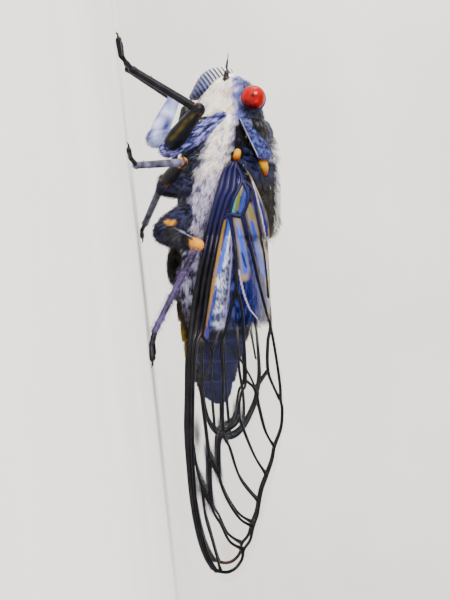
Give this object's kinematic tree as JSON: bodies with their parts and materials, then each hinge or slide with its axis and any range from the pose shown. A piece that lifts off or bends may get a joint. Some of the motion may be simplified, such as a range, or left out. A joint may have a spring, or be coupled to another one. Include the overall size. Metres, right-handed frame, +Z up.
{
  "type": "cicada",
  "caption": "Life-size still model of a large dark cicada at rest, with red eyes, silvery hair and clear black-veined wings folded over its back",
  "frame": {"origin": "middle of the footprint box, on the floor that the feet stand on", "axes": "+X from head to wing tips, +Z up, left side towards -Y"},
  "size_m": [0.059, 0.038, 0.0156],
  "materials": {
    "shell": "blue-black glossy cuticle",
    "notum": "black cuticle under short brown-grey hair",
    "hairy_cuticle": "black cuticle under silvery-cream hair",
    "belly": "dark cuticle with whitish down at the segment edges",
    "eye": "bright red glossy compound eye",
    "wing": "clear membrane with raised black veins",
    "leg": "black cuticle with orange-yellow joints"
  },
  "bodies": {
    "root": {"abdomen": "belly", "antenna_left": "shell", "antenna_right": "shell", "eye_left": "eye", "eye_right": "eye", "fore_left_coxa": "leg", "fore_left_femur": "leg", "fore_left_tarsus": "leg", "fore_left_tibia": "leg", "fore_right_coxa": "leg", "fore_right_femur": "leg", "fore_right_tarsus": "leg", "fore_right_tibia": "leg", "forewing_left": "wing", "forewing_right": "wing", "head": "shell", "hind_left_coxa": "leg", "hind_left_femur": "leg", "hind_left_tarsus": "leg", "hind_left_tibia": "leg", "hind_right_coxa": "leg", "hind_right_femur": "leg", "hind_right_tarsus": "leg", "hind_right_tibia": "leg", "hindwing_left": "wing", "hindwing_right": "wing", "mesonotum": "notum", "mid_left_coxa": "leg", "mid_left_femur": "leg", "mid_left_tarsus": "leg", "mid_left_tibia": "leg", "mid_right_coxa": "leg", "mid_right_femur": "leg", "mid_right_tarsus": "leg", "mid_right_tibia": "leg", "operculum_left": "shell", "operculum_right": "shell", "postclypeus": "shell", "pronotum": "notum", "prothorax": "hairy_cuticle", "rostrum": "shell", "thorax": "hairy_cuticle"}
  },
  "joints": []
}
